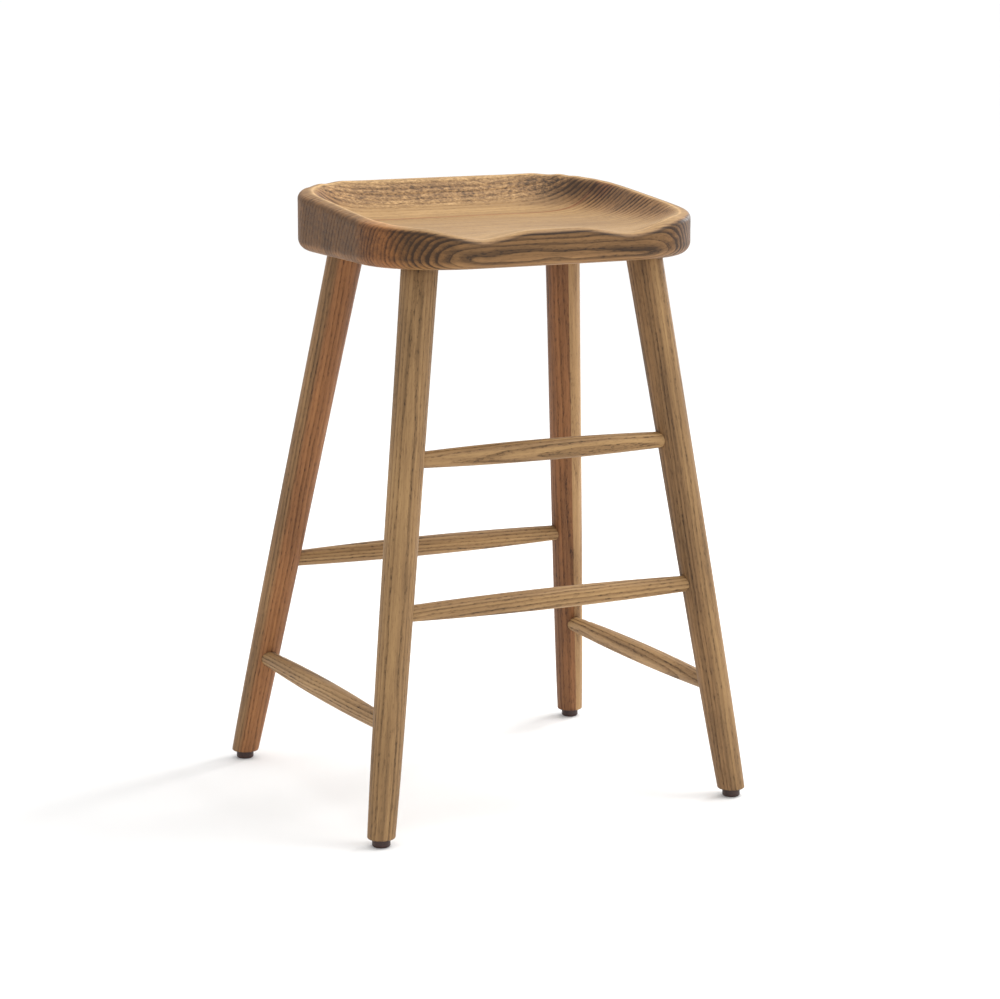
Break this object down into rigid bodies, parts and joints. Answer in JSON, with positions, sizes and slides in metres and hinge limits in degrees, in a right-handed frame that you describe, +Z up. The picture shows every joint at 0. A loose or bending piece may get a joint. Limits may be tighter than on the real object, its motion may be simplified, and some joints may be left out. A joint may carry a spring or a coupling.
{
  "type": "bar stool with footrest",
  "caption": "Bar-height wooden stool with a scooped saddle seat on splayed turned legs, braced by turned rungs that serve as footrests, on small round glides.",
  "frame": {"origin": "on the floor, at the middle of the footprint", "axes": "+Z up; -Y towards the front of the seat, where the pommel and the two footrest rungs are; +X to the right when looking along +Y at the front"},
  "size_m": [0.5148, 0.4702, 0.7582],
  "materials": {
    "seat_oak": "matt, brushed brown oak, grain from side to side",
    "leg_oak": "matt, brushed brown oak, grain along the leg",
    "rung_oak": "matt, brushed brown oak, grain along the rung",
    "glide": "dark brown moulded plastic, satin",
    "nail": "dull zinc-plated steel"
  },
  "bodies": {
    "root": {"seat_board_front": "seat_oak", "seat_board_mid_front": "seat_oak", "seat_board_mid_back": "seat_oak", "seat_board_back": "seat_oak", "front_left_leg": "leg_oak", "front_right_leg": "leg_oak", "back_left_leg": "leg_oak", "back_right_leg": "leg_oak", "front_upper_rung": "rung_oak", "front_lower_rung": "rung_oak", "back_rung": "rung_oak", "left_rung": "rung_oak", "right_rung": "rung_oak", "front_left_glide": "glide", "front_right_glide": "glide", "back_left_glide": "glide", "back_right_glide": "glide", "front_left_glide_nail": "nail", "front_right_glide_nail": "nail", "back_left_glide_nail": "nail", "back_right_glide_nail": "nail"}
  },
  "joints": []
}
